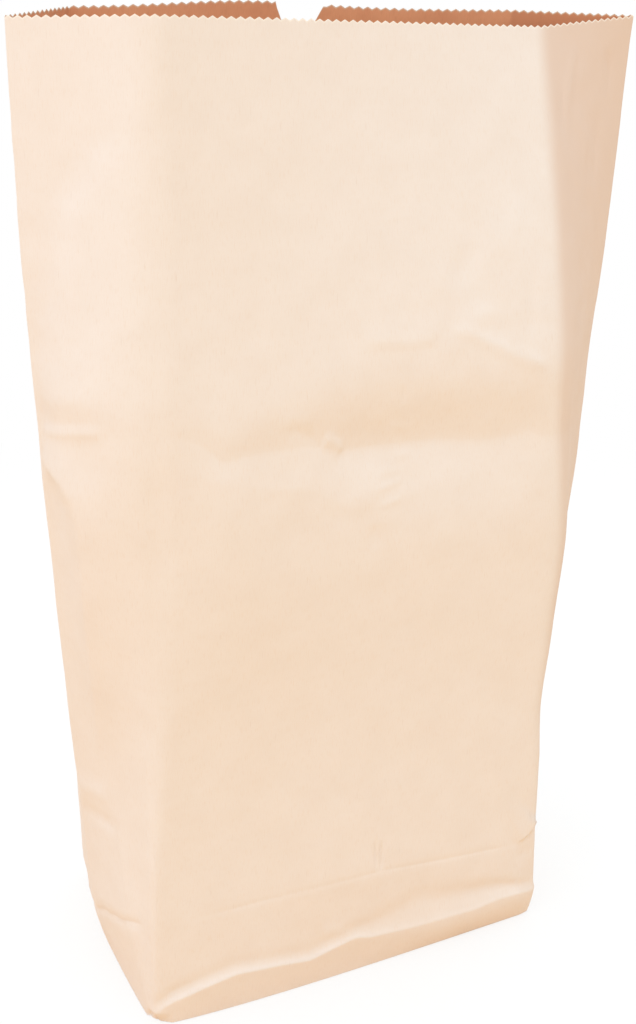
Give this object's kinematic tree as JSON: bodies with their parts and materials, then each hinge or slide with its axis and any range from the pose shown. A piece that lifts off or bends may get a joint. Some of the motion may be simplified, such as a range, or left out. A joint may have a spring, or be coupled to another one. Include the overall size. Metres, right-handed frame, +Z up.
{
  "type": "paper trash bag",
  "caption": "Tall open paper refuse bag with a flat folded bottom, side folds that flare out at the mouth, a zigzag cut edge and a thumb notch in the back.",
  "frame": {"origin": "middle of the flat bottom, on the surface that the bag stands on", "axes": "+Z up towards the mouth, -Y towards the front panel, +X along the front panel to its right as seen from the front"},
  "size_m": [0.6096, 0.2715, 0.8913],
  "materials": {
    "kraft_paper": "matte, pale unbleached kraft outside and browner inside"
  },
  "bodies": {
    "root": {"paper_bag": "kraft_paper"}
  },
  "joints": []
}
